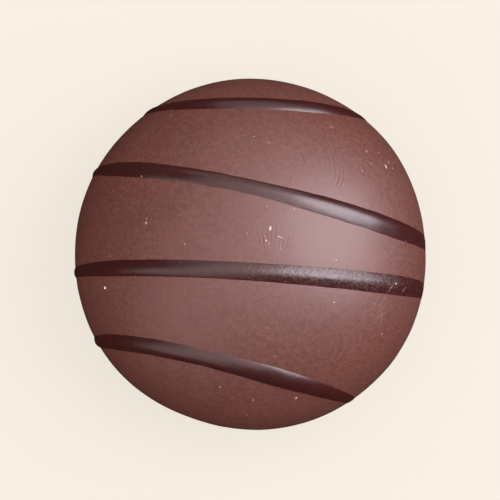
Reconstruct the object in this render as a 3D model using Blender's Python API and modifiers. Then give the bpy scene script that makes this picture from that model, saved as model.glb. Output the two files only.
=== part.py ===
"""A round, domed candy coated in milk chocolate, with dark chocolate stripes drizzled over it.

The coat is a turned dome, slightly uneven in plan, that tucks in under its belly to a flat base.
Each stripe is a bead of set chocolate, laid by a straight pass over the dome and down both sides.
The beads are fused to the coat, so the candy is one solid.
Metres, +Z up, the origin at the middle of the base.
"""

import math

import bmesh
import bpy
from mathutils import Vector

# Coat
COAT_RADIUS = 0.0170  # at the belly, the widest ring
COAT_HEIGHT = 0.0208  # from the base to the crown
BELLY_HEIGHT = 0.0056
BASE_RADIUS = 0.0142  # of the flat that the candy stands on
TUCK_POWER = 2.2  # how square the wall turns in from the belly to the base: 2 is an ellipse
OUTLINE_WAVES = (  # how the plan leaves a circle: lobes, share of the radius, turn in degrees
    (2, 0.0021, 62),
    (3, 0.0042, 150),
    (4, 0.0030, -164),
    (6, 0.0024, 141),
)

# Stripes
CREST_SHARE = 0.31  # a bead's height over its width, halfway along it
END_CREST_SHARE = 0.25  # and at its ends, where it has run down the wall
PASS_HALF_SPAN = 0.0170  # the bow and the sway of a pass are measured over this half of it
LUMP_SHARE = 0.03  # how much a bead swells and thins along its length
LUMP_WAVES = 3
NOSE_LENGTH = 0.0014  # the rounded stretch at each end of a bead
NOSE_START_SHARE = 0.2  # the width at the tip, over the full width
TIP_LEANS = (math.radians(45), math.radians(162))  # a tip lies between these leans from upright
STRIPES = (
    # offset, bow and sway are across the pass: a positive bow lifts its middle towards +Y, and a
    # negative sway lifts its left half and lowers its right half;
    # widths are at the left end, the middle and the right end, tips are heights above the base
    {"name": "stripe_back", "offset": 0.01315, "slope": -0.021, "bow": 0.00044, "sway": -0.00011,
     "widths": (0.00130, 0.00195, 0.00125), "tips": (0.0020, 0.0013)},
    {"name": "stripe_upper", "offset": 0.00449, "slope": -0.214, "bow": 0.00066, "sway": -0.00036,
     "widths": (0.00125, 0.00165, 0.00185), "tips": (0.0012, 0.0018)},
    {"name": "stripe_middle", "offset": -0.00277, "slope": -0.053, "bow": 0.00017, "sway": -0.00015,
     "widths": (0.00115, 0.00168, 0.00178), "tips": (0.0017, 0.0011)},
    {"name": "stripe_front", "offset": -0.01229, "slope": -0.208, "bow": 0.00093, "sway": -0.00083,
     "widths": (0.00115, 0.00198, 0.00125), "tips": (0.0010, 0.0022)},
)

# Mesh fineness
TURN_STEPS = 96
DOME_RINGS = 21
TUCK_RINGS = 8
STRIPE_STATIONS = 42
NOSE_STATIONS = 4
STRIPE_SIDE_STEPS = 8  # the bevel resolution of a bead's round section
WELD = 0.00001
GRADIENT_STEP = 0.000001
HALVINGS = 40

# Colours, linear, with roughness
MILK_CHOCOLATE = ((0.150, 0.047, 0.033, 1.0), 0.42)
DARK_CHOCOLATE = ((0.026, 0.010, 0.010, 1.0), 0.34)
SMOOTH_ANGLE = math.radians(40)


def clear_scene():
    for old in list(bpy.data.objects):
        bpy.data.objects.remove(old)


def new_collection(name):
    made = bpy.data.collections.new(name)
    bpy.context.scene.collection.children.link(made)
    return made


def chocolate(name, finish):
    colour, roughness = finish
    made = bpy.data.materials.new(name)
    made.use_nodes = True
    shader = made.node_tree.nodes["Principled BSDF"]
    shader.inputs["Base Color"].default_value = colour
    shader.inputs["Roughness"].default_value = roughness
    shader.inputs["Metallic"].default_value = 0.0
    made.diffuse_color = colour
    return made


def outline(angle):
    """The plan's radius at this angle over the mean radius."""
    return 1 + sum(
        share * math.cos(lobes * angle + math.radians(turn)) for lobes, share, turn in OUTLINE_WAVES
    )


def tuck_radius(height):
    """Radius of the wall between the base and the belly."""
    drop = min(1.0, (BELLY_HEIGHT - height) / BELLY_HEIGHT)
    spread = (1 - drop**TUCK_POWER) ** (1 / TUCK_POWER)
    return BASE_RADIUS + (COAT_RADIUS - BASE_RADIUS) * spread


def coat_level(point):
    """Below 0 inside the coat, 0 on its surface and above 0 outside."""
    radius = math.hypot(point.x, point.y) / outline(math.atan2(point.y, point.x))
    if point.z < BELLY_HEIGHT:
        return (radius / tuck_radius(max(0.0, point.z))) ** 2 - 1
    rise = (point.z - BELLY_HEIGHT) / (COAT_HEIGHT - BELLY_HEIGHT)
    return (radius / COAT_RADIUS) ** 2 + rise**2 - 1


def coat_normal(point):
    steps = [Vector([GRADIENT_STEP * (i == axis) for i in range(3)]) for axis in range(3)]
    return Vector([coat_level(point + step) - coat_level(point - step) for step in steps]).normalized()


def coat_profile():
    """Half of the coat's upright section, down its outer side from the crown to the middle of the base."""
    crown_rise = COAT_HEIGHT - BELLY_HEIGHT
    points = []
    for ring in range(DOME_RINGS + 1):
        turn = math.pi / 2 * ring / DOME_RINGS
        points.append((COAT_RADIUS * math.sin(turn), BELLY_HEIGHT + crown_rise * math.cos(turn)))
    for ring in range(1, TUCK_RINGS + 1):
        turn = math.pi / 2 * ring / TUCK_RINGS
        height = BELLY_HEIGHT * (1 - math.sin(turn) ** (2 / TUCK_POWER))
        points.append((tuck_radius(height), height))
    points.append((0.0, 0.0))
    return points


def mesh_object(name, mesh, collection):
    made = bpy.data.objects.new(name, mesh)
    collection.objects.link(made)
    return made


def evaluated_mesh(obj):
    """A new mesh of the object with its modifiers applied, its doubled points welded."""
    bpy.context.view_layer.update()
    graph = bpy.context.evaluated_depsgraph_get()
    mesh = bpy.data.meshes.new_from_object(obj.evaluated_get(graph))
    form = bmesh.new()
    form.from_mesh(mesh)
    bmesh.ops.remove_doubles(form, verts=form.verts, dist=WELD)
    form.to_mesh(mesh)
    form.free()
    return mesh


def make_coat(collection, material):
    """The turned dome, with its plan then drawn out of round by the outline's waves."""
    profile = coat_profile()
    mesh = bpy.data.meshes.new("coat_profile")
    edges = [(i, i + 1) for i in range(len(profile) - 1)]
    mesh.from_pydata([(radius, 0.0, height) for radius, height in profile], edges, [])
    coat = mesh_object("walnut_candy", mesh, collection)
    turn = coat.modifiers.new("turn", "SCREW")
    turn.axis = "Z"
    turn.steps = turn.render_steps = TURN_STEPS
    turn.use_merge_vertices = True
    turn.merge_threshold = WELD
    coat.data = evaluated_mesh(coat)
    coat.modifiers.clear()
    for vertex in coat.data.vertices:
        spread = outline(math.atan2(vertex.co.y, vertex.co.x))
        vertex.co.x *= spread
        vertex.co.y *= spread
    coat.data.materials.append(material)
    return coat


class Pass:
    """One straight pass of the drizzle over the coat, seen as a fan of rays in its upright plane."""

    def __init__(self, stripe):
        heading = math.atan(stripe["slope"])
        self.along = Vector((math.cos(heading), math.sin(heading), 0))
        self.across = Vector((-math.sin(heading), math.cos(heading), 0))
        self.offset = stripe["offset"] * math.cos(heading)
        self.bow = stripe["bow"]
        self.sway = stripe["sway"]

    def point(self, angle, reach):
        """The point at this distance on the ray that leans by this angle from upright."""
        run = reach * math.sin(angle)
        way = run / PASS_HALF_SPAN
        side = self.offset + (self.bow + self.sway * way) * (1 - way**2)
        lift = Vector((0, 0, BELLY_HEIGHT + reach * math.cos(angle)))
        return self.along * run + self.across * side + lift

    def surface_point(self, angle):
        near, far = 0.0, 2 * COAT_RADIUS
        for _ in range(HALVINGS):
            middle = (near + far) / 2
            if coat_level(self.point(angle, middle)) < 0:
                near = middle
            else:
                far = middle
        return self.point(angle, near)

    def tip_angle(self, side, height):
        """The lean at which the surface, on this side of the candy, is down at this height."""
        near, far = TIP_LEANS
        for _ in range(HALVINGS):
            middle = (near + far) / 2
            if self.surface_point(side * middle).z > height:
                near = middle
            else:
                far = middle
        return side * near


def station_shares(span):
    """Shares of a bead's length at which its bar has a ring, closer together in its rounded ends."""
    nose = NOSE_LENGTH / span
    turns = [math.pi / 2 * i / NOSE_STATIONS for i in range(NOSE_STATIONS)]
    lead = [nose * (1 - math.cos(turn)) for turn in turns]
    run = [nose + (1 - 2 * nose) * i / STRIPE_STATIONS for i in range(STRIPE_STATIONS + 1)]
    return lead + run + [1 - share for share in reversed(lead)]


def bead_width(stripe, share, from_tip):
    """A bead's width at this share of its length: its stated widths, small lumps and rounded tips."""
    left, middle, right = stripe["widths"]
    width = left * (1 - share) * (1 - 2 * share) + middle * 4 * share * (1 - share)
    width += right * share * (2 * share - 1)
    shifted = share + stripe["offset"] / COAT_RADIUS  # no two beads swell at the same share
    lumps = 1 + LUMP_SHARE * math.sin(2 * math.pi * LUMP_WAVES * shifted)
    nose = math.sqrt(1 - (1 - min(1.0, from_tip / NOSE_LENGTH)) ** 2)
    return width * lumps * max(NOSE_START_SHARE, nose)


def bead_section(width, share):
    """Radius of the round bar that stands this wide out of the coat, and how deep its centre lies."""
    height = width * (CREST_SHARE + (END_CREST_SHARE - CREST_SHARE) * (2 * share - 1) ** 2)
    radius = (width**2 / 4 + height**2) / (2 * height)
    return radius, radius - height


def make_stripe(stripe, collection, material):
    """A bead: a bar laid along its pass, sunk so that only its rounded top stands out of the coat."""
    drizzle = Pass(stripe)
    start = drizzle.tip_angle(-1, stripe["tips"][0])
    end = drizzle.tip_angle(1, stripe["tips"][1])
    shares = station_shares(COAT_RADIUS * (end - start))
    surface = [drizzle.surface_point(start + (end - start) * share) for share in shares]
    curve = bpy.data.curves.new(stripe["name"], "CURVE")
    curve.dimensions = "3D"
    curve.bevel_depth = 1.0  # each point's radius is then its bar's radius
    curve.bevel_resolution = STRIPE_SIDE_STEPS
    curve.use_fill_caps = True
    line = curve.splines.new("POLY")
    line.points.add(len(shares) - 1)
    for point, share, place in zip(line.points, shares, surface):
        from_tip = min((place - surface[0]).length, (place - surface[-1]).length)
        radius, depth = bead_section(bead_width(stripe, share, from_tip), share)
        point.co = (*(place - coat_normal(place) * depth), 1.0)
        point.radius = radius
    bar = bpy.data.objects.new(stripe["name"] + "_bar", curve)
    collection.objects.link(bar)
    bead = mesh_object(stripe["name"], evaluated_mesh(bar), collection)
    bead.matrix_world = bar.matrix_world
    bead.data.materials.clear()
    bead.data.materials.append(material)
    bpy.data.objects.remove(bar)
    return bead


def fuse(coat, beads):
    """Joins every object of the collection to the coat, and removes them."""
    join = coat.modifiers.new("join", "BOOLEAN")
    join.operation = "UNION"
    join.operand_type = "COLLECTION"
    join.collection = beads
    join.solver = "EXACT"
    join.material_mode = "TRANSFER"
    coat.data = evaluated_mesh(coat)
    coat.modifiers.clear()
    for bead in list(beads.objects):
        bpy.data.objects.remove(bead)
    bpy.data.collections.remove(beads)


def main():
    clear_scene()
    milk = chocolate("milk_chocolate", MILK_CHOCOLATE)
    dark = chocolate("dark_chocolate", DARK_CHOCOLATE)
    candy = new_collection("candy")
    beads = new_collection("beads")
    coat = make_coat(candy, milk)
    for stripe in STRIPES:
        make_stripe(stripe, beads, dark)
    fuse(coat, beads)
    coat.data.shade_smooth()
    coat.data.set_sharp_from_angle(angle=SMOOTH_ANGLE)


main()
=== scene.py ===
"""The looks of a round candy: a milk chocolate coat, dark chocolate stripes drizzled over it, and crumbs.

Metres, +Z up, the origin at the middle of the flat base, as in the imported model.
"""

import math

import bpy
import numpy as np
from mathutils import Matrix, Vector, noise


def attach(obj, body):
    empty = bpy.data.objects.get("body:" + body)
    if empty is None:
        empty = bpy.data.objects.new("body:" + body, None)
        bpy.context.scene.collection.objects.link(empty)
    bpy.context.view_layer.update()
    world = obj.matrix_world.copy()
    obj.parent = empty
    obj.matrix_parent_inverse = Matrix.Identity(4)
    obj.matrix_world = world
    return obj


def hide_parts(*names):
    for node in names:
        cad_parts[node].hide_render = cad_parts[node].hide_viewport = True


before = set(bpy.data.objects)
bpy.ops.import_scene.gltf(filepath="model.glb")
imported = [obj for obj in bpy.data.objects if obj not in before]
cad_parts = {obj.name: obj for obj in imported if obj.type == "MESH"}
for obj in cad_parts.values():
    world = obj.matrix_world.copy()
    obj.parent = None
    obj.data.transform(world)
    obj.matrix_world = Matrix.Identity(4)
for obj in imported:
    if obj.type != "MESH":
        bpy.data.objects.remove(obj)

CAD_NODE = "walnut_candy"
BODY = "root"

# Coat, the same form as the solid
COAT_RADIUS = 0.0170  # at the belly, the widest ring
COAT_HEIGHT = 0.0208  # from the base to the crown
BELLY_HEIGHT = 0.0056
BASE_RADIUS = 0.0142  # of the flat that the candy stands on
TUCK_POWER = 2.2  # how square the wall turns in from the belly to the base
OUTLINE_WAVES = (  # how the plan leaves a circle: lobes, share of the radius, turn in degrees
    (2, 0.0021, 62),
    (3, 0.0042, 150),
    (4, 0.0030, -164),
    (6, 0.0024, 141),
)

# Fine form of the coat
BALL_CUTS = (43, 1)  # the cuts of each side of the cube that the coat starts as
BELLY_TURN = math.radians(112)  # from the ball's upper pole to what becomes the belly
BASE_TURN = math.radians(135)  # and to what becomes the base's edge
LUMPS = (  # uneven set of the chocolate: height, size, seed
    (0.000050, 0.0085, 8.5),
    (0.000022, 0.0032, 3.2),
    (0.000005, 0.0011, 1.1),
)
UNDERSIDE_LUMP = (0.00006, 0.0016, 5.0)
UNDERSIDE_RIM = 0.0015  # the underside is smooth over this width, at its edge
FADE_HEIGHT = 0.0012  # the lumps fade out over this height, so that the base stays flat
HALVINGS = 40  # of the range in which a point of the coat is looked for
PROBE = 1e-6  # the step over which the coat's slope is read

# Stripes: the pass of each over the coat is as in the solid
PASS_HALF_SPAN = 0.0170
STRIPES = (
    # offset, bow and sway are across the pass; the lists are read at even shares of the length: widths,
    # crests (heights over the width, on top), ridges (how far the ridge lies to the upper side, over the
    # half width), how straight the uppers (upper flanks) and lowers are, and how scuffed the bead is;
    # rims are heights at the silhouettes, tips above the base
    {"name": "stripe_back", "offset": 0.01315, "slope": -0.021, "bow": 0.00044, "sway": -0.00011,
     "widths": (0.00100, 0.00120, 0.00145, 0.00182, 0.00192, 0.00190, 0.00155, 0.00110, 0.00100),
     "crests": (0.19, 0.19, 0.19), "ridges": (0.0, 0.0, 0.0),
     "uppers": (0.0, 0.0, 0.0), "lowers": (0.0, 0.1, 0.1, 0.0),
     "scuffs": (0.1, 0.1, 0.1), "rims": (0.00012, 0.00006), "tips": (0.0020, 0.0013)},
    {"name": "stripe_upper", "offset": 0.00449, "slope": -0.214, "bow": 0.00066, "sway": -0.00036,
     "widths": (0.00090, 0.00100, 0.00158, 0.00151, 0.00148, 0.00186, 0.00187, 0.00155, 0.00120),
     "crests": (0.19, 0.19, 0.19, 0.19, 0.13, 0.158, 0.145, 0.13, 0.15),
     "ridges": (0.0, 0.0, 0.0, 0.0, 0.16, 0.06, 0.18, 0.25, 0.2), "uppers": (0.0, 0.0, 0.0),
     "lowers": (0.0, 0.0, 0.0, 0.0, 0.8, 0.65, 0.9, 0.8, 0.4),
     "scuffs": (0.1, 0.1, 0.1), "rims": (0.00014, 0.00003), "tips": (0.0012, 0.0018)},
    {"name": "stripe_middle", "offset": -0.00277, "slope": -0.053, "bow": 0.00017, "sway": -0.00015,
     "widths": (0.00090, 0.00105, 0.00148, 0.00157, 0.00167, 0.00180, 0.00190, 0.00155, 0.00120),
     "crests": (0.19, 0.19, 0.19, 0.19, 0.165, 0.15, 0.145, 0.16, 0.19),
     "ridges": (0.0, 0.0, 0.0, 0.0, 0.0, 0.05, 0.08, 0.05, 0.0),
     "uppers": (0.0, 0.0, 0.0, 0.0, 0.6, 0.8, 0.7, 0.3, 0.0),
     "lowers": (0.0, 0.0, 0.0, 0.0, 0.4, 0.6, 0.6, 0.5, 0.2),
     "scuffs": (0.0, 0.0, 0.0, 0.1, 0.7, 1.0, 1.0, 0.4, 0.0),
     "rims": (0.00014, 0.00003), "tips": (0.0017, 0.0011)},
    {"name": "stripe_front", "offset": -0.01229, "slope": -0.208, "bow": 0.00093, "sway": -0.00083,
     "widths": (0.00100, 0.00115, 0.00174, 0.00192, 0.00192, 0.00216, 0.00170, 0.00110, 0.00100),
     "crests": (0.19, 0.19, 0.19), "ridges": (0.0, 0.0, 0.0),
     "uppers": (0.1, 0.4, 0.5, 0.3, 0.0), "lowers": (0.0, 0.0, 0.0),
     "scuffs": (0.1, 0.1, 0.1), "rims": (0.00020, 0.00006), "tips": (0.0010, 0.0022)},
)
WALL_SHARE = 0.14  # a bead's height over its width on the wall, under the belly
RISE_RUN = 0.012  # it rises from its rim height at the belly to its crest over this distance
FALL_RUN = 0.0032  # and to its height on the wall over this one
NOSE_LENGTH = 0.0012  # over which a bead's tips are rounded
BEAD_SIDES = 40
BEAD_CUTS = (95, 3)  # the cuts along it, and then between each two of them
BEAD_SINK = 0.0004  # how deep a bead reaches into the coat
RIDGE_SOFTNESS = 0.3  # how far a straight flank's ridge is rounded, over the half width
BEAD_ROUNDNESS = 0.65  # how much of a half circle its section is before it meets the coat
BEAD_UNDER_POWER = 0.6  # how square the part in the coat is
BEAD_END_SINK = 0.3  # least share of the full depth, at the tips
BEAD_MIDDLE_SINK = 0.2  # the depth of the middle point of each end, as a share of the full depth
WIDTH_WAVE = (0.05, 0.0021)  # unevenness along a bead: share, length
HEIGHT_WAVE = (0.08, 0.0027)
BEAD_SEED_STEP = 10.0  # between one bead's unevenness and the next one's
HEIGHT_SEED_STEP = 3.0  # between a bead's unevenness in width and in height
RING_DRAW = 0.6  # how far a bead's rings are drawn towards its ends, where it bends most
AIM_STEP = 0.002  # share of a pass over which its direction is read
PASS_STEPS = 1500  # points at which the length of a pass is measured
BELLY_STEPS = 501  # points at which its crossings of the belly are looked for
TIP_ANGLES = (0.25 * math.pi, 0.9 * math.pi)  # of the fan's rays between which the tips lie
TINY = 1e-6  # lengths below this count as none

# Photo's camera: the candy's belly is centred on a pixel of the 500 by 500 photo
PHOTO_SIZE = 500
CANDY_PIXEL = (251.0, 254.4)
CAMERA_ELEVATION = math.radians(86)
CAMERA_DISTANCE = 0.250
LENS = 186.1
SENSOR = 36.0
FOCAL_PIXELS = LENS / SENSOR * PHOTO_SIZE

# Marks in the coat, by their pixels in the photo
RIDGE_PATCHES = (
    # fine ridges left by handling: rings round a pixel, or rays from it, over a patch of the coat;
    # pitch is in pixels for rings and in degrees for rays
    {"kind": "rings", "from": (316, 173), "middle": (342, 177), "spread": (9, 12), "pitch": 4.1,
     "height": 0.0000170},
    {"kind": "rings", "from": (285, 166), "middle": (331, 160), "spread": (8, 13), "pitch": 4.6,
     "height": 0.0000100},
    {"kind": "rays", "from": (272, 304), "middle": (270, 240), "spread": (23, 12), "pitch": 3.6,
     "height": 0.0000070},
    {"kind": "rings", "from": (153, 118), "middle": (382, 311), "spread": (8, 11), "pitch": 4.2,
     "height": 0.0000080},
)
RIDGE_BREAK = 0.0007  # the ridges come and go over about this length
RIDGE_SHARE = 0.6  # of their full height, on average
RIDGE_SEED = 3.0
TONE_DEPTH = 0.000012  # a mark this deep gets the darkest painted shade, and one this high the palest painted highlight
GROOVES = (  # pixels along each, then half width in pixels and depth
    (((302.0, 140.0), (299.4, 149.5)), 0.70, 0.000010),
    (((300.8, 151.0), (304.0, 160.0)), 0.80, 0.000016),
    (((310.6, 160.5), (312.9, 166.0)), 0.55, 0.000006),
    (((174.5, 126.0), (180.5, 143.0), (186.5, 165.0)), 0.6, 0.000007),
)
MARK_BOXES = (  # the parts of the coat that are cut finer: left, top, right and bottom
    (322, 143, 356, 197), (295, 139, 315, 168), (171, 122, 190, 168), (240, 223, 302, 260),
    (370, 296, 396, 326),
)
MARK_CUTS = 5

# Crumbs by their pixels in the photo: place, length, width, turn in degrees, paleness
CRUMBS = (
    ((105.0, 288.0), 0.00032, 0.00028, 20, 1.00),
    ((396.0, 283.6), 0.00030, 0.00015, 25, 0.60),
    ((391.2, 287.8), 0.00022, 0.00008, 34, 0.35),
    ((391.5, 287.3), 0.00130, 0.00004, 34, 0.20),
    ((404.0, 289.8), 0.00080, 0.00008, 28, 0.06),
    ((389.3, 284.4), 0.00016, 0.00010, 0, 0.25),
    ((386.0, 166.6), 0.00048, 0.00022, 86, 0.55),
    ((388.5, 162.3), 0.00026, 0.00014, 75, 0.30),
    ((392.9, 168.5), 0.00018, 0.00010, 0, 0.40),
    ((296.0, 398.0), 0.00024, 0.00018, 10, 0.65),
    ((266.1, 240.6), 0.00026, 0.00022, 40, 0.45),
    ((270.2, 228.4), 0.00044, 0.00021, 78, 0.75),
    ((279.6, 236.9), 0.00056, 0.00011, -20, 0.45),
    ((284.0, 238.6), 0.00050, 0.00005, -16, 0.20),
    ((280.7, 248.5), 0.00026, 0.00012, 80, 0.25),
    ((268.7, 243.4), 0.00040, 0.00009, 80, 0.25),
    ((247.2, 233.4), 0.00030, 0.00014, 110, 0.15),
    ((274.8, 258.5), 0.00030, 0.00012, 115, 0.15),
    ((264.8, 236.3), 0.00014, 0.00010, 0, 0.35),
    ((146.0, 223.0), 0.00036, 0.00020, 95, 0.30),
    ((146.5, 218.5), 0.00022, 0.00012, 80, 0.15),
    ((366.5, 151.4), 0.00026, 0.00016, 140, 0.30),
    ((378.3, 152.7), 0.00018, 0.00014, 0, 0.35),
    ((371.4, 163.4), 0.00024, 0.00014, 150, 0.20),
    ((362.2, 170.5), 0.00026, 0.00018, 70, 0.20),
    ((338.9, 150.0), 0.00022, 0.00018, 0, 0.05),
    ((292.6, 182.0), 0.00026, 0.00022, 0, 0.15),
    ((382.0, 334.0), 0.00024, 0.00018, 45, 0.25),
    ((334.1, 302.3), 0.00028, 0.00020, 10, 0.30),
    ((336.0, 260.5), 0.00030, 0.00026, 10, 0.30),
    ((141.5, 176.5), 0.00022, 0.00016, 90, 0.15),
    ((184.6, 244.0), 0.00020, 0.00014, 30, 0.25),
    ((110.0, 256.5), 0.00026, 0.00016, 60, 0.10),
    ((171.0, 115.0), 0.00024, 0.00016, 80, 0.10),
    ((254.0, 136.5), 0.00022, 0.00014, 60, 0.20),
    ((268.5, 142.5), 0.00022, 0.00016, 60, 0.15),
    ((331.5, 127.0), 0.00062, 0.00008, -14, 0.25),
    ((294.0, 209.0), 0.00018, 0.00012, 0, 0.45),
    ((266.5, 206.5), 0.00022, 0.00014, 20, 0.25),
    ((253.0, 400.0), 0.00020, 0.00014, 0, 0.30),
    ((220.0, 387.0), 0.00020, 0.00012, 70, 0.35),
    ((247.0, 415.0), 0.00020, 0.00014, 10, 0.20),
    ((267.5, 328.0), 0.00020, 0.00014, 0, 0.12),
    ((275.0, 356.5), 0.00020, 0.00014, 0, 0.12),
    ((345.0, 362.5), 0.00022, 0.00016, 0, 0.00),
)
SCUFFS = (  # fine pale strokes: middle pixel, spread in pixels, how many, turn, turn's spread, length
    ((249.0, 240.0), (4.0, 7.0), 10, 118, 6, 0.00034),
    ((271.0, 246.0), (6.0, 4.0), 10, 88, 8, 0.00030),
    ((290.0, 244.0), (5.0, 7.0), 10, 58, 8, 0.00032),
    ((379.0, 315.0), (11.0, 17.0), 20, 54, 6, 0.00060),
    ((366.0, 160.0), (9.0, 6.0), 14, 20, 50, 0.00014),
)
STROKE_SPREAD = 0.6  # share of the spread that most strokes keep to
STROKE_LENGTHS = (0.5, 1.2)  # over the length given
STROKE_WIDTH = 0.00005
STROKE_PALENESS = (0.0, 0.14)
DUST_COUNT = 90
DUST_REACH = 172  # pixels from the candy's middle
DUST_SIZE = (0.00004, 0.00010)
DUST_STRETCH = (1, 1.8)  # length over width
DUST_PALENESS = (0, 0.12)
DUST_SEED = 11
CRUMB_UNEVENNESS = 0.12
CRUMB_HEIGHT = 0.5  # over its width

# Colours, linear
MILK_BROWN = (0.087, 0.0222, 0.0122)
MILK_DEEP = (0.078, 0.0194, 0.0100)
MILK_PALE = (0.128, 0.0500, 0.0370)
# painted shade in the valleys of the fine ridges and in the grooves
VALLEY_SHADE_BROWN = (0.050, 0.0110, 0.0070)
DARK_BROWN = (0.025, 0.0020, 0.0015)
DARK_PALE = (0.044, 0.0090, 0.0085)
CRUMB_DULL = (0.120, 0.0520, 0.0400)
CRUMB_PALE = (0.55, 0.50, 0.45)
FLOOR_CREAM = (0.921, 0.855, 0.768)
FLOOR_LIGHT = (0.800, 0.772, 0.686)

# Finishes: scales are per metre, depths in metres, turns in degrees; pebbles are a scale and a depth
CLOUD_SCALE = 210.0
GRAIN_SCALE = 2600.0
SCRATCH_TURNS = (35, 62, 118)
SCRATCH_SCALE = (260.0, 5200.0, 2600.0)  # along the scratches, across them and upright
SCRATCH_PATCH_SCALE = 330.0
MILK_PEBBLES = (1500.0, 0.000016)
MILK_SCRATCH_DEPTH = 0.000004
MILK_ROUGHNESS = 0.48
MILK_GRAIN_ROUGHNESS = 0.08  # added by the grain
MILK_GRAIN_PALENESS = 0.45  # how far the grain goes to the paler colour
MILK_SCRATCH_PALENESS = 0.25
# painted highlight on the crests of the coat's fine ridges
CREST_PAINTED_HIGHLIGHT = 0.35
# painted shade in the valleys and grooves, as a share towards the shade brown
VALLEY_PAINTED_SHADE = 0.65
VALLEY_ROUGHNESS = 0.30  # added in the grooves
DARK_PEBBLES = (1900.0, 0.000008)
DARK_SCRATCH_DEPTH = 0.000005
DARK_ROUGHNESS = 0.29
DARK_CLOUD_ROUGHNESS = 0.08
DARK_GRAIN_PALENESS = 0.25
SCUFF_ROUGHNESS = 0.02
SPECKLE_SCALE = 3400.0
SPECKLE_DEPTH = 0.000010
SPECKLE_ROUGHNESS = 0.10
SPECKLE_PALENESS = 0.6
CHOCOLATE_IOR = 1.6
CRUMB_ROUGHNESS = 0.5

# Lights, all soft discs that face the candy: name, tilt from upright and heading in degrees, distance,
# width, power, tint
LIGHTS = (
    ("key", 51, 12, 0.55, 0.66, 4.4, (1.0, 0.91, 0.98)),
    ("overhead", 0, 0, 0.60, 0.88, 1.72, (1.0, 0.70, 0.73)),
    ("left_fill", 60, 225, 0.55, 0.6, 0.64, (1.0, 0.76, 0.74)),
    ("back_fill", 60, 90, 0.55, 0.6, 0.41, (1.0, 0.85, 0.85)),
)
ROOM_TINT = (1.0, 0.74, 0.73)
ROOM_STRENGTH = 1.57
ROOM_SHEEN = 0.03  # the room's strength in reflections, where it is mostly dark
FLOOR_GLOW = 0.90
FLOOR_DIM = (0.030, 0.014, 0.010)  # the floor's colour in the light that it throws back
FLOOR_SIZE = 1.6


def smooth_step(low, high, value):
    """From 0 at low to 1 at high, with level ends."""
    share = np.clip((value - low) / (high - low), 0, 1)
    return share * share * (3 - 2 * share)


def along_list(values, share):
    """The value at this share of an evenly spaced list, on a smooth curve through its values."""
    values = np.array(values, float)
    place = np.clip(share, 0, 1) * (len(values) - 1)
    left = np.minimum(place.astype(int), len(values) - 2)
    way = place - left
    before = values[np.maximum(left - 1, 0)]
    after = values[np.minimum(left + 2, len(values) - 1)]
    start, end = values[left], values[left + 1]
    slope_in, slope_out = (end - before) / 2, (after - start) / 2
    return (
        start * (2 * way**3 - 3 * way**2 + 1)
        + slope_in * (way**3 - 2 * way**2 + way)
        + end * (3 * way**2 - 2 * way**3)
        + slope_out * (way**3 - way**2)
    )


def noise_at(points, size, seed):
    """Smooth noise from about -1 to 1 at each point, with features of this size."""
    shift = Vector((seed, 1.7 * seed, -0.6 * seed))
    return np.array([noise.noise(Vector(point) / size + shift) for point in points])


def unit(vectors):
    return vectors / np.linalg.norm(vectors, axis=-1, keepdims=True)


def outline(angle):
    """The plan's radius at this angle over the mean radius."""
    return 1 + sum(
        share * np.cos(lobes * angle + math.radians(turn)) for lobes, share, turn in OUTLINE_WAVES
    )


def tuck_radius(height):
    """The wall's radius at this height, where it tucks in from the belly to the base."""
    drop = np.clip((BELLY_HEIGHT - height) / BELLY_HEIGHT, 0, 1)
    return BASE_RADIUS + (COAT_RADIUS - BASE_RADIUS) * (1 - drop**TUCK_POWER) ** (1 / TUCK_POWER)


def coat_level(points):
    """Below 0 inside the smooth coat, 0 on it and above 0 outside."""
    x, y, z = points[..., 0], points[..., 1], points[..., 2]
    radius = np.hypot(x, y) / outline(np.arctan2(y, x))
    low = (radius / tuck_radius(np.maximum(z, 0))) ** 2 - 1
    high = (radius / COAT_RADIUS) ** 2 + ((z - BELLY_HEIGHT) / (COAT_HEIGHT - BELLY_HEIGHT)) ** 2 - 1
    return np.where(z < BELLY_HEIGHT, low, high)


def coat_normal(points):
    """Unit directions straight out of the smooth coat."""
    steps = np.eye(3) * PROBE
    return unit(np.stack([coat_level(points + step) - coat_level(points - step) for step in steps], -1))


def crossing(inside, outside):
    """Where the lines between these points inside and outside the coat meet it."""
    for _ in range(HALVINGS):
        middle = (inside + outside) / 2
        within = (coat_level(middle) < 0)[..., None]
        inside = np.where(within, middle, inside)
        outside = np.where(within, outside, middle)
    return inside


def camera_axes():
    """The camera's unit directions: right, up and back."""
    back = np.array([0.0, -math.cos(CAMERA_ELEVATION), math.sin(CAMERA_ELEVATION)])
    right = np.array([1.0, 0.0, 0.0])
    return right, np.cross(back, right), back


def camera_eye():
    """Where the camera stands, so that the belly's centre falls on its pixel."""
    right, up, back = camera_axes()
    per_pixel = CAMERA_DISTANCE / FOCAL_PIXELS
    across = (CANDY_PIXEL[0] - PHOTO_SIZE / 2) * per_pixel
    down = (CANDY_PIXEL[1] - PHOTO_SIZE / 2) * per_pixel
    belly = np.array([0.0, 0.0, BELLY_HEIGHT])
    return belly + back * CAMERA_DISTANCE - right * across + up * down


def in_photo(points):
    """The pixels of the photo at which these points appear."""
    right, up, back = camera_axes()
    away = points - camera_eye()
    depth = -(away @ back)
    across = PHOTO_SIZE / 2 + FOCAL_PIXELS * (away @ right) / depth
    down = PHOTO_SIZE / 2 - FOCAL_PIXELS * (away @ up) / depth
    return across, down


def seen_at(pixels):
    """The points of the smooth coat that the photo shows at these pixels."""
    right, up, back = camera_axes()
    pixels = np.array(pixels, float).reshape(-1, 2) - PHOTO_SIZE / 2
    rays = unit(right * pixels[:, :1] - up * pixels[:, 1:] - back * FOCAL_PIXELS)
    eye = camera_eye()
    middle = np.array([0.0, 0.0, BELLY_HEIGHT])
    nearest = eye + rays * ((middle - eye) @ rays.T)[:, None]
    return crossing(nearest, np.broadcast_to(eye, nearest.shape))


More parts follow.
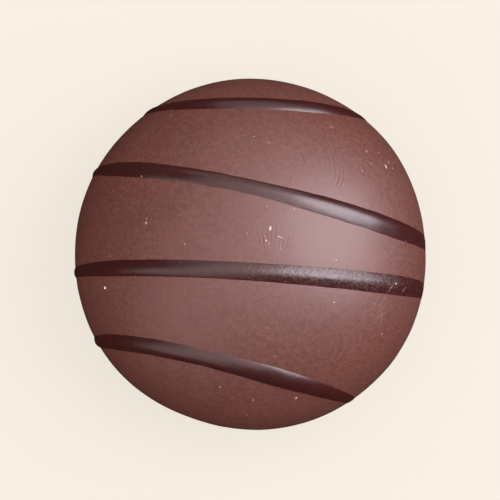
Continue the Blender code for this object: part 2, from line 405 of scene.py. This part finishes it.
def lumps(points):
    """Height of the coat's uneven set over its smooth form."""
    height = sum(tall * noise_at(points, size, seed) for tall, size, seed in LUMPS)
    return height * smooth_step(0, FADE_HEIGHT, points[:, 2])


def from_line(across, down, line):
    """Distance in pixels from a bent line, given by its corners, in the photo."""
    nearest = np.full(across.shape, np.inf)
    for (x0, y0), (x1, y1) in zip(line, line[1:]):
        run, rise = x1 - x0, y1 - y0
        way = np.clip(((across - x0) * run + (down - y0) * rise) / (run**2 + rise**2), 0, 1)
        nearest = np.minimum(nearest, np.hypot(across - x0 - way * run, down - y0 - way * rise))
    return nearest


def ridges(patch, across, down):
    """Height of one patch of fine ridges, at these pixels."""
    right, below = across - patch["from"][0], down - patch["from"][1]
    if patch["kind"] == "rings":
        phase = np.hypot(right, below) / patch["pitch"]
    else:
        phase = np.degrees(np.arctan2(right, -below)) / patch["pitch"]
    off = (across - patch["middle"][0]) / patch["spread"][0]
    aside = (down - patch["middle"][1]) / patch["spread"][1]
    return patch["height"] * np.sin(2 * math.pi * phase) * np.exp(-(off**2) - aside**2)


def marks(points):
    """Height of the fine ridges and grooves in the coat's top."""
    across, down = in_photo(points)
    broken = RIDGE_SHARE + noise_at(points, RIDGE_BREAK, RIDGE_SEED)
    height = broken * sum(ridges(patch, across, down) for patch in RIDGE_PATCHES)
    for line, half_width, depth in GROOVES:
        height = height - depth * np.exp(-((from_line(across, down, line) / half_width) ** 2))
    return np.where(points[:, 2] > BELLY_HEIGHT, height, 0)


def deselect_all():
    if bpy.context.object and bpy.context.object.mode != "OBJECT":
        bpy.ops.object.mode_set(mode="OBJECT")
    bpy.ops.object.select_all(action="DESELECT")


def vertex_array(piece):
    flat = np.empty(len(piece.data.vertices) * 3)
    piece.data.vertices.foreach_get("co", flat)
    return flat.reshape(-1, 3)


def set_vertices(piece, points):
    piece.data.vertices.foreach_set("co", points.reshape(-1))
    piece.data.update()


def set_tone(piece, name, values):
    """Keeps one value for each vertex, for the material."""
    tone = piece.data.attributes.new(name, "FLOAT", "POINT")
    tone.data.foreach_set("value", np.array(values, np.float32))


def finish_piece(piece, name, material):
    """Names a piece, shades it smooth, and makes it ride on the candy's body."""
    piece.name = name
    piece.data.name = name
    piece.data.materials.clear()
    piece.data.materials.append(material)
    deselect_all()
    piece.select_set(True)
    bpy.context.view_layer.objects.active = piece
    bpy.ops.object.mode_set(mode="EDIT")
    bpy.ops.mesh.select_all(action="SELECT")
    bpy.ops.mesh.normals_make_consistent(inside=False)
    bpy.ops.object.mode_set(mode="OBJECT")
    bpy.ops.object.shade_smooth()
    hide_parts(CAD_NODE)
    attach(piece, BODY)
    return piece


def even_ball():
    """A ball of even four-sided faces: a cube, cut fine and drawn out onto a sphere."""
    deselect_all()
    bpy.ops.mesh.primitive_cube_add(size=2)
    ball = bpy.context.object
    bpy.ops.object.mode_set(mode="EDIT")
    for cuts in BALL_CUTS:
        bpy.ops.mesh.select_all(action="SELECT")
        bpy.ops.mesh.subdivide(number_cuts=cuts)
    bpy.ops.object.mode_set(mode="OBJECT")
    set_vertices(ball, unit(np.tan(vertex_array(ball) * math.pi / 4)))
    return ball


def coat_points(directions):
    """The coat's points for a ball's directions: the dome, then the wall that tucks in, then the base."""
    turn = np.arccos(np.clip(directions[:, 2], -1, 1))
    heading = np.arctan2(directions[:, 1], directions[:, 0])
    dome = np.clip(turn / BELLY_TURN, 0, 1) * math.pi / 2
    tuck = np.clip((turn - BELLY_TURN) / (BASE_TURN - BELLY_TURN), 0, 1) * math.pi / 2
    inward = np.clip((math.pi - turn) / (math.pi - BASE_TURN), 0, 1)
    rise = COAT_HEIGHT - BELLY_HEIGHT
    wall_height = BELLY_HEIGHT * (1 - np.sin(tuck) ** (2 / TUCK_POWER))
    height = np.where(turn < BELLY_TURN, BELLY_HEIGHT + rise * np.cos(dome), wall_height)
    radius = np.where(turn < BELLY_TURN, COAT_RADIUS * np.sin(dome), tuck_radius(wall_height) * inward)
    radius = radius * outline(heading)
    return np.stack([radius * np.cos(heading), radius * np.sin(heading), height], -1)


def refine_marked(ball):
    """Cuts the faces finer where the photo shows fine marks."""
    mesh = ball.data
    centres = np.empty(len(mesh.polygons) * 3)
    mesh.polygons.foreach_get("center", centres)
    across, down = in_photo(coat_points(unit(centres.reshape(-1, 3))))
    chosen = np.zeros(len(across), bool)
    for left, top, right, bottom in MARK_BOXES:
        chosen |= (across > left) & (across < right) & (down > top) & (down < bottom)
    chosen &= centres.reshape(-1, 3)[:, 2] > 0
    bpy.ops.object.mode_set(mode="EDIT")
    bpy.ops.mesh.select_mode(type="FACE")
    bpy.ops.mesh.select_all(action="DESELECT")
    bpy.ops.object.mode_set(mode="OBJECT")
    mesh.polygons.foreach_set("select", chosen)
    bpy.ops.object.mode_set(mode="EDIT")
    bpy.ops.mesh.subdivide(number_cuts=MARK_CUTS)
    bpy.ops.object.mode_set(mode="OBJECT")


def make_coat(material):
    """The coat: a ball drawn out to the coat's form, with its lumps, marks and pitted underside."""
    ball = even_ball()
    refine_marked(ball)
    directions = unit(vertex_array(ball))
    points = coat_points(directions)
    normals = coat_normal(points)
    under = directions[:, 2] < math.cos(BASE_TURN)
    marked = np.where(under, 0, marks(points))
    relief = marked + np.where(under, 0, lumps(points))
    points = points + normals * relief[:, None]
    tall, size, seed = UNDERSIDE_LUMP
    inset = smooth_step(0, UNDERSIDE_RIM, BASE_RADIUS - np.hypot(points[:, 0], points[:, 1]))
    pitting = tall * np.abs(noise_at(points, size, seed)) * inset
    points[:, 2] += np.where(under, pitting, 0)
    set_vertices(ball, points)
    # each vertex's mark height, which drives the painted highlight on crests and the painted shade in
    # valleys
    set_tone(ball, "marked", np.clip(marked / TONE_DEPTH, -1, 1))
    return finish_piece(ball, "milk_coat", material)


class Pass:
    """One pass of the drizzle over the coat, seen as a fan of rays in its upright plane."""

    def __init__(self, stripe):
        heading = math.atan(stripe["slope"])
        self.along = np.array([math.cos(heading), math.sin(heading), 0.0])
        self.across = np.array([-math.sin(heading), math.cos(heading), 0.0])
        self.offset = stripe["offset"] * math.cos(heading)
        self.bow = stripe["bow"]
        self.sway = stripe["sway"]

    def points(self, angles, reach):
        """Points this far out along the rays at these angles from upright."""
        run = reach * np.sin(angles)
        way = run / PASS_HALF_SPAN
        side = self.offset + (self.bow + self.sway * way) * (1 - way**2)
        height = BELLY_HEIGHT + reach * np.cos(angles)
        level = self.along * run[:, None] + self.across * side[:, None]
        return level + np.stack([0 * run, 0 * run, height], -1)

    def on_coat(self, angles):
        """Where the rays at these angles from upright meet the coat."""
        near, far = np.zeros(len(angles)), np.full(len(angles), 2 * COAT_RADIUS)
        for _ in range(HALVINGS):
            middle = (near + far) / 2
            within = coat_level(self.points(angles, middle)) < 0
            near, far = np.where(within, middle, near), np.where(within, far, middle)
        return self.points(angles, near)

    def tip_angle(self, side, height):
        """The ray on this side, -1 or 1, that meets the coat at this height."""
        near, far = TIP_ANGLES
        for _ in range(HALVINGS):
            middle = (near + far) / 2
            if self.on_coat(np.array([side * middle]))[0, 2] > height:
                near = middle
            else:
                far = middle
        return side * near

    def path(self, tips, shares):
        """Points at these shares of the length between the two tips, and that length."""
        angles = np.linspace(self.tip_angle(-1, tips[0]), self.tip_angle(1, tips[1]), PASS_STEPS)
        points = self.on_coat(angles)
        gone = np.concatenate([[0], np.cumsum(np.linalg.norm(np.diff(points, axis=0), axis=1))])
        wanted = np.array([np.interp(shares, gone / gone[-1], points[:, axis]) for axis in range(3)]).T
        return wanted, gone[-1]


def straight_bead():
    """A round bar one unit long and one in radius, cut into fine rings."""
    deselect_all()
    bpy.ops.mesh.primitive_cylinder_add(
        vertices=BEAD_SIDES, radius=1, depth=1, end_fill_type="TRIFAN", rotation=(0, math.pi / 2, 0)
    )
    bar = bpy.context.object
    bpy.ops.object.transform_apply(location=True, rotation=True, scale=True)
    for cuts in BEAD_CUTS:
        mesh = bar.data
        points = vertex_array(bar)
        ends = np.array([edge.vertices[:] for edge in mesh.edges])
        long = np.abs(points[ends[:, 0], 0] - points[ends[:, 1], 0]) > TINY
        bpy.ops.object.mode_set(mode="EDIT")
        bpy.ops.mesh.select_mode(type="EDGE")
        bpy.ops.mesh.select_all(action="DESELECT")
        bpy.ops.object.mode_set(mode="OBJECT")
        mesh.edges.foreach_set("select", long)
        bpy.ops.object.mode_set(mode="EDIT")
        bpy.ops.mesh.subdivide(number_cuts=cuts)
        bpy.ops.object.mode_set(mode="OBJECT")
    return bar


def bead_section(across, ridge, upper, lower):
    """A bead's height over its ridge's height, at this share of its half width: 0 at its edges."""
    from_ridge = across - ridge
    edge = np.where(from_ridge > 0, 1 - ridge, 1 + ridge)
    away = np.clip(np.abs(from_ridge) / edge, 0, 1)
    foot = math.sqrt(1 - BEAD_ROUNDNESS**2)
    rounded = (np.sqrt(1 - (away * BEAD_ROUNDNESS) ** 2) - foot) / (1 - foot)
    straight = np.where(from_ridge > 0, upper, lower)
    bend = math.sqrt(1 + RIDGE_SOFTNESS**2) - RIDGE_SOFTNESS
    sloped = 1 - (np.sqrt(away**2 + RIDGE_SOFTNESS**2) - RIDGE_SOFTNESS) / bend
    return rounded * (1 - straight) + sloped * straight


def bead_height(stripe, width, share, length, crossings):
    """The ridge's height: its crest on top, its rim height at the belly and a share of the width below."""
    left_run = (share - crossings[0]) * length
    right_run = (crossings[1] - share) * length
    left_rim, right_rim = stripe["rims"]
    rim = np.where(left_run < right_run, left_rim, right_rim)
    run = np.minimum(left_run, right_run)
    high = np.where(run > 0, along_list(stripe["crests"], share), WALL_SHARE) * width
    way = np.where(run > 0, smooth_step(0, RISE_RUN, run), smooth_step(0, FALL_RUN, -run))
    return rim + (high - rim) * way


def make_stripe(stripe, number, material):
    """A bead of set chocolate: a bar with a low rounded section, laid along its pass on the coat."""
    bar = straight_bead()
    raw = vertex_array(bar)
    share = raw[:, 0] + 0.5
    share = share - RING_DRAW * np.sin(2 * math.pi * share) / (2 * math.pi)
    drizzle, tips = Pass(stripe), stripe["tips"]
    place, length = drizzle.path(tips, share)
    before, _ = drizzle.path(tips, np.clip(share - AIM_STEP, 0, 1))
    after, _ = drizzle.path(tips, np.clip(share + AIM_STEP, 0, 1))
    even = np.linspace(0, 1, BELLY_STEPS)
    above = even[drizzle.path(tips, even)[0][:, 2] > BELLY_HEIGHT]
    normal = coat_normal(place)
    side = unit(np.cross(normal, unit(after - before)))
    run = np.stack([share * length, 0 * share, 0 * share], -1)
    seed = BEAD_SEED_STEP * number
    from_tip = np.minimum(share, 1 - share) * length
    nose = np.sqrt(1 - (1 - np.clip(from_tip / NOSE_LENGTH, 0, 1)) ** 2)
    wave, wave_length = WIDTH_WAVE
    width = along_list(stripe["widths"], share) * (1 + wave * noise_at(run, wave_length, seed))
    height = bead_height(stripe, width, share, length, (above[0], above[-1]))
    wave, wave_length = HEIGHT_WAVE
    height = height * (1 + wave * noise_at(run, wave_length, seed + HEIGHT_SEED_STEP)) * nose
    width = width * nose
    middle = np.hypot(raw[:, 1], raw[:, 2]) < 0.5
    across = np.clip(np.where(middle, 0, raw[:, 1]), -1, 1)
    ridge, upper, lower = (along_list(stripe[key], share) for key in ("ridges", "uppers", "lowers"))
    top = bead_section(across, ridge, upper, lower) * height
    sunk = -BEAD_SINK * np.abs(raw[:, 2]) ** BEAD_UNDER_POWER * np.maximum(nose, BEAD_END_SINK)
    lift = np.where(raw[:, 2] >= -TINY, top, sunk)
    lift = np.where(middle, -BEAD_MIDDLE_SINK * BEAD_SINK, lift)
    bend = (across * width / 2) ** 2 / (2 * COAT_RADIUS)
    lift = lift + lumps(place) - bend
    set_vertices(bar, place + side * (across * width / 2)[:, None] + normal * lift[:, None])
    set_tone(bar, "scuffed", along_list(stripe["scuffs"], share))
    return finish_piece(bar, stripe["name"], material)


def crumb_form():
    """The corners and faces of one rough crumb, about one unit across."""
    deselect_all()
    bpy.ops.mesh.primitive_ico_sphere_add(subdivisions=2, radius=0.5)
    crumb = bpy.context.object
    points = vertex_array(crumb)
    faces = [list(face.vertices) for face in crumb.data.polygons]
    bpy.data.objects.remove(crumb)
    return points, faces


def crumb_places():
    """Every crumb's pixel, length, width, turn and paleness: the named ones, the scuffs and the dust."""
    draw = np.random.default_rng(DUST_SEED)
    places = list(CRUMBS)
    for middle, spread, count, turn, turn_spread, length in SCUFFS:
        for _ in range(count):
            pixel = tuple(np.array(middle) + draw.normal(0, STROKE_SPREAD, 2) * spread)
            long = length * draw.uniform(*STROKE_LENGTHS)
            turned = turn + draw.normal(0, turn_spread)
            places.append((pixel, long, STROKE_WIDTH, turned, draw.uniform(*STROKE_PALENESS)))
    for _ in range(DUST_COUNT):
        out = DUST_REACH * math.sqrt(draw.uniform())
        heading = draw.uniform(0, 2 * math.pi)
        pixel = (CANDY_PIXEL[0] + out * math.cos(heading), CANDY_PIXEL[1] + out * math.sin(heading))
        size = draw.uniform(*DUST_SIZE)
        long = size * draw.uniform(*DUST_STRETCH)
        places.append((pixel, long, size, draw.uniform(0, 180), draw.uniform(*DUST_PALENESS)))
    return places


def make_crumbs(material, surfaces):
    """All the crumbs as one mesh, each turned to the surface that it lies on."""
    corners, faces = crumb_form()
    draw = np.random.default_rng(DUST_SEED + 1)
    all_points, all_faces, paleness = [], [], []
    right, up, _ = camera_axes()
    eye = camera_eye()
    for pixel, length, width, turn, pale in crumb_places():
        target = seen_at(pixel)[0]
        hit = first_hit(eye, target, surfaces)
        if hit is None:
            continue
        place, normal = hit
        heading = right * math.cos(math.radians(turn)) + up * math.sin(math.radians(turn))
        along = unit(heading - normal * (heading @ normal))
        aside = np.cross(normal, along)
        rough = corners * (1 + draw.normal(0, CRUMB_UNEVENNESS, (len(corners), 1)))
        local = rough * (length, width, CRUMB_HEIGHT * width)
        base = len(paleness)
        all_points.extend(place + local[:, :1] * along + local[:, 1:2] * aside + local[:, 2:] * normal)
        all_faces.extend([[base + corner for corner in face] for face in faces])
        paleness.extend([pale] * len(corners))
    mesh = bpy.data.meshes.new("crumbs")
    mesh.from_pydata([tuple(point) for point in all_points], [], all_faces)
    crumbs = bpy.data.objects.new("crumbs", mesh)
    set_tone(crumbs, "paleness", paleness)
    bpy.context.scene.collection.objects.link(crumbs)
    return finish_piece(crumbs, "crumbs", material)


def first_hit(eye, target, surfaces):
    """The first point and normal that a line from the eye meets on these pieces."""
    ray = Vector(target - eye).normalized()
    best = None
    for surface in surfaces:
        found, place, normal, _ = surface.ray_cast(Vector(eye), ray)
        if found and (best is None or (place - Vector(eye)).length < best[2]):
            best = (np.array(place), np.array(normal), (place - Vector(eye)).length)
    return best[:2] if best else None


def node(tree, kind, inputs=None, **settings):
    """Adds a node: inputs are values or the sockets that feed them, settings are its own properties."""
    made = tree.nodes.new(kind)
    for name, value in settings.items():
        setattr(made, name, value)
    for key, value in (inputs or {}).items():
        if isinstance(value, bpy.types.NodeSocket):
            tree.links.new(value, made.inputs[key])
        else:
            made.inputs[key].default_value = value
    return made


def new_group(name, inputs, outputs):
    """An empty node group with these input and output sockets, and its two end nodes."""
    group = bpy.data.node_groups.new(name, "ShaderNodeTree")
    for socket, kind in inputs:
        group.interface.new_socket(socket, in_out="INPUT", socket_type=kind)
    for socket, kind in outputs:
        group.interface.new_socket(socket, in_out="OUTPUT", socket_type=kind)
    return group, group.nodes.new("NodeGroupInput"), group.nodes.new("NodeGroupOutput")


def noise_node(tree, place, per_metre, detail=3.0, roughness=0.5, distortion=0.0):
    return node(tree, "ShaderNodeTexNoise", {
        "Vector": place,
        "Scale": per_metre,
        "Detail": detail,
        "Roughness": roughness,
        "Distortion": distortion,
    })


def spread_node(tree, value, low, high):
    """Spreads the values between low and high over 0 to 1."""
    return node(tree, "ShaderNodeMapRange", {
        "Value": value, "From Min": low, "From Max": high, "To Min": 0.0, "To Max": 1.0,
    }, interpolation_type="SMOOTHSTEP").outputs["Result"]


def math_node(tree, operation, first, second):
    """One sum on two values or sockets."""
    return node(tree, "ShaderNodeMath", {0: first, 1: second}, operation=operation).outputs[0]


def math_add(tree, value, times, plus):
    """The value times one number or socket, plus another."""
    return node(tree, "ShaderNodeMath", {0: value, 1: times, 2: plus}, operation="MULTIPLY_ADD").outputs[0]


def mix_colours(tree, share, first, second):
    made = tree.nodes.new("ShaderNodeMix")
    made.data_type = "RGBA"
    for key, value in ((0, share), (6, first), (7, second)):
        if isinstance(value, bpy.types.NodeSocket):
            tree.links.new(value, made.inputs[key])
        else:
            made.inputs[key].default_value = (*value, 1.0) if key else value
    return made.outputs[2]


def mottle_group():
    """Masks for cloudy and for fine unevenness, as in set chocolate."""
    group, start, end = new_group(
        "chocolate_mottle",
        [("Place", "NodeSocketVector")],
        [("Clouds", "NodeSocketFloat"), ("Grain", "NodeSocketFloat")],
    )
    place = start.outputs["Place"]
    clouds = noise_node(group, place, CLOUD_SCALE, detail=4.0, roughness=0.6, distortion=0.4)
    grain = noise_node(group, place, GRAIN_SCALE, detail=3.0, roughness=0.6)
    group.links.new(spread_node(group, clouds.outputs["Fac"], 0.30, 0.70), end.inputs["Clouds"])
    group.links.new(spread_node(group, grain.outputs["Fac"], 0.25, 0.75), end.inputs["Grain"])
    return group


def scratch_group():
    """Fine hairline scratches that run several ways, in patches."""
    group, start, end = new_group(
        "fine_scratches", [("Place", "NodeSocketVector")], [("Scratches", "NodeSocketFloat")]
    )
    total = None
    for turn in SCRATCH_TURNS:
        turned = node(group, "ShaderNodeMapping", {
            "Vector": start.outputs["Place"],
            "Rotation": (0.0, 0.0, math.radians(turn)),
            "Scale": SCRATCH_SCALE,
        })
        lines = noise_node(group, turned.outputs["Vector"], 1.0, detail=1.0, distortion=0.15)
        thin = spread_node(group, lines.outputs["Fac"], 0.66, 0.74)
        total = thin if total is None else math_node(group, "MAXIMUM", total, thin)
    patches = noise_node(group, start.outputs["Place"], SCRATCH_PATCH_SCALE, detail=2.0)
    patchy = spread_node(group, patches.outputs["Fac"], 0.46, 0.62)
    group.links.new(math_node(group, "MULTIPLY", total, patchy), end.inputs["Scratches"])
    return group


def new_material(name):
    made = bpy.data.materials.new(name)
    made.use_nodes = True
    return made, made.node_tree, made.node_tree.nodes["Principled BSDF"]


def relief_node(tree, height, depth, below=None):
    """The surface's normal with this relief on it, over the relief below."""
    inputs = {"Height": height, "Distance": depth, "Strength": 1.0}
    if below is not None:
        inputs["Normal"] = below
    return node(tree, "ShaderNodeBump", inputs).outputs["Normal"]


def milk_chocolate(mottle, scratches):
    """Satin brown, with a painted highlight on the marks' crests and painted shade in their valleys, which
    are also duller.
    """
    made, tree, shader = new_material("milk_chocolate")
    place = tree.nodes.new("ShaderNodeTexCoord").outputs["Object"]
    cloudy = node(tree, "ShaderNodeGroup", {"Place": place}, node_tree=mottle)
    hairlines = node(tree, "ShaderNodeGroup", {"Place": place}, node_tree=scratches)
    marked = node(tree, "ShaderNodeAttribute", {}, attribute_name="marked").outputs["Fac"]
    # how high or deep the marks are here: crests get a painted highlight, valleys painted shade and more
    # roughness
    crest = math_node(tree, "MAXIMUM", marked, 0.0)
    valley = math_node(tree, "MAXIMUM", math_node(tree, "MULTIPLY", marked, -1.0), 0.0)
    colour = mix_colours(tree, cloudy.outputs["Clouds"], MILK_DEEP, MILK_BROWN)
    # grain and scratches are the chocolate's own paler tone; the crests get a painted highlight and the
    # valleys painted shade
    for mask, share, tint in (
        (cloudy.outputs["Grain"], MILK_GRAIN_PALENESS, MILK_PALE),
        (hairlines.outputs["Scratches"], MILK_SCRATCH_PALENESS, MILK_PALE),
        (crest, CREST_PAINTED_HIGHLIGHT, MILK_PALE),
        (valley, VALLEY_PAINTED_SHADE, VALLEY_SHADE_BROWN),
    ):
        colour = mix_colours(tree, math_node(tree, "MULTIPLY", mask, share), colour, tint)
    tree.links.new(colour, shader.inputs["Base Color"])
    roughness = math_add(tree, cloudy.outputs["Grain"], MILK_GRAIN_ROUGHNESS, MILK_ROUGHNESS)
    tree.links.new(math_add(tree, valley, VALLEY_ROUGHNESS, roughness), shader.inputs["Roughness"])
    scale, depth = MILK_PEBBLES
    pebbles = noise_node(tree, place, scale, detail=3.0, roughness=0.55)
    normal = relief_node(tree, pebbles.outputs["Fac"], depth)
    normal = relief_node(tree, hairlines.outputs["Scratches"], -MILK_SCRATCH_DEPTH, normal)
    tree.links.new(normal, shader.inputs["Normal"])
    shader.inputs["IOR"].default_value = CHOCOLATE_IOR
    shader.inputs["Specular IOR Level"].default_value = 1.0
    return made


def dark_chocolate(mottle, scratches):
    """Near black and glossier than the coat, with pale fine speckles where a bead is scuffed."""
    made, tree, shader = new_material("dark_chocolate")
    place = tree.nodes.new("ShaderNodeTexCoord").outputs["Object"]
    cloudy = node(tree, "ShaderNodeGroup", {"Place": place}, node_tree=mottle)
    hairlines = node(tree, "ShaderNodeGroup", {"Place": place}, node_tree=scratches)
    scuffed = node(tree, "ShaderNodeAttribute", {}, attribute_name="scuffed").outputs["Fac"]
    spots = noise_node(tree, place, SPECKLE_SCALE, detail=2.0, roughness=0.6)
    speckle = math_node(tree, "MULTIPLY", spread_node(tree, spots.outputs["Fac"], 0.42, 0.62), scuffed)
    pale_speckle = math_node(tree, "MULTIPLY", speckle, SPECKLE_PALENESS)
    pale_share = math_add(tree, cloudy.outputs["Grain"], DARK_GRAIN_PALENESS, pale_speckle)
    colour = mix_colours(tree, pale_share, DARK_BROWN, DARK_PALE)
    tree.links.new(colour, shader.inputs["Base Color"])
    roughness = math_add(tree, scuffed, SCUFF_ROUGHNESS, DARK_ROUGHNESS)
    roughness = math_add(tree, cloudy.outputs["Clouds"], DARK_CLOUD_ROUGHNESS, roughness)
    roughness = math_add(tree, speckle, SPECKLE_ROUGHNESS, roughness)
    tree.links.new(roughness, shader.inputs["Roughness"])
    scale, depth = DARK_PEBBLES
    pebbles = noise_node(tree, place, scale, detail=2.0)
    normal = relief_node(tree, pebbles.outputs["Fac"], depth)
    normal = relief_node(tree, hairlines.outputs["Scratches"], -DARK_SCRATCH_DEPTH, normal)
    normal = relief_node(tree, speckle, SPECKLE_DEPTH, normal)
    tree.links.new(normal, shader.inputs["Normal"])
    shader.inputs["IOR"].default_value = CHOCOLATE_IOR
    shader.inputs["Specular IOR Level"].default_value = 1.0
    return made


def crumb_material():
    """From dull chocolate to pale sugar, by each crumb's own paleness."""
    made, tree, shader = new_material("crumb_chocolate")
    tone = node(tree, "ShaderNodeAttribute", {}, attribute_name="paleness")
    colour = mix_colours(tree, tone.outputs["Fac"], CRUMB_DULL, CRUMB_PALE)
    tree.links.new(colour, shader.inputs["Base Color"])
    shader.inputs["Roughness"].default_value = CRUMB_ROUGHNESS
    return made


def floor_material():
    """Pale cream: it glows a little, so that the candy's shadow on it stays faint."""
    made = bpy.data.materials.new("cream_floor")
    made.use_nodes = True
    tree = made.node_tree
    tree.nodes.clear()
    matt = node(tree, "ShaderNodeBsdfDiffuse", {"Color": (*FLOOR_CREAM, 1.0)})
    glow = node(tree, "ShaderNodeEmission", {"Color": (*FLOOR_LIGHT, 1.0), "Strength": 1.0})
    pale = node(tree, "ShaderNodeMixShader", {0: FLOOR_GLOW, 1: matt.outputs[0], 2: glow.outputs[0]})
    dim = node(tree, "ShaderNodeBsdfDiffuse", {"Color": (*FLOOR_DIM, 1.0)})
    path = tree.nodes.new("ShaderNodeLightPath")
    seen = node(tree, "ShaderNodeMixShader", {
        0: path.outputs["Is Camera Ray"], 1: dim.outputs[0], 2: pale.outputs[0],
    })
    out = tree.nodes.new("ShaderNodeOutputMaterial")
    tree.links.new(seen.outputs[0], out.inputs["Surface"])
    return made


def soft_light(name, tilt, heading, distance, width, power, tint):
    """A round soft light that faces the candy."""
    tilt, heading = math.radians(tilt), math.radians(heading)
    way = Vector((math.sin(tilt) * math.cos(heading), math.sin(tilt) * math.sin(heading), math.cos(tilt)))
    deselect_all()
    bpy.ops.object.light_add(type="AREA", location=way * distance)
    lamp = bpy.context.object
    lamp.name = name
    lamp.rotation_euler = way.to_track_quat("Z", "Y").to_euler()
    lamp.data.shape = "DISK"
    lamp.data.size = width
    lamp.data.energy = power
    lamp.data.color = tint


def make_stage():
    """The plain pale floor, the soft lights and the room's own light."""
    deselect_all()
    bpy.ops.mesh.primitive_plane_add(size=FLOOR_SIZE)
    floor = bpy.context.object
    floor.name = "floor"
    floor.data.materials.append(floor_material())
    for light in LIGHTS:
        soft_light(*light)
    world = bpy.data.worlds.new("room")
    bpy.context.scene.world = world
    world.use_nodes = True
    room = world.node_tree.nodes["Background"]
    room.inputs["Color"].default_value = (*ROOM_TINT, 1.0)
    path = world.node_tree.nodes.new("ShaderNodeLightPath")
    glossy = path.outputs["Is Glossy Ray"]
    strength = math_add(world.node_tree, glossy, ROOM_SHEEN - ROOM_STRENGTH, ROOM_STRENGTH)
    world.node_tree.links.new(strength, room.inputs["Strength"])


def make_camera():
    """The photo's view: almost straight down."""
    right, up, back = camera_axes()
    turn = Matrix([[*row] for row in np.stack([right, up, back], -1)]).to_4x4()
    deselect_all()
    bpy.ops.object.camera_add()
    camera = bpy.context.object
    camera.matrix_world = Matrix.Translation(Vector(camera_eye())) @ turn
    camera.data.lens = LENS
    camera.data.sensor_width = SENSOR
    camera.data.clip_start = 0.01
    bpy.context.scene.camera = camera


def main():
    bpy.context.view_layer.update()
    mottle = mottle_group()
    scratches = scratch_group()
    milk = milk_chocolate(mottle, scratches)
    dark = dark_chocolate(mottle, scratches)
    coat = make_coat(milk)
    stripes = [make_stripe(stripe, number, dark) for number, stripe in enumerate(STRIPES)]
    bpy.context.view_layer.update()
    make_crumbs(crumb_material(), [coat, *stripes])
    make_stage()
    make_camera()
    bpy.context.scene.view_settings.view_transform = "Standard"


main()
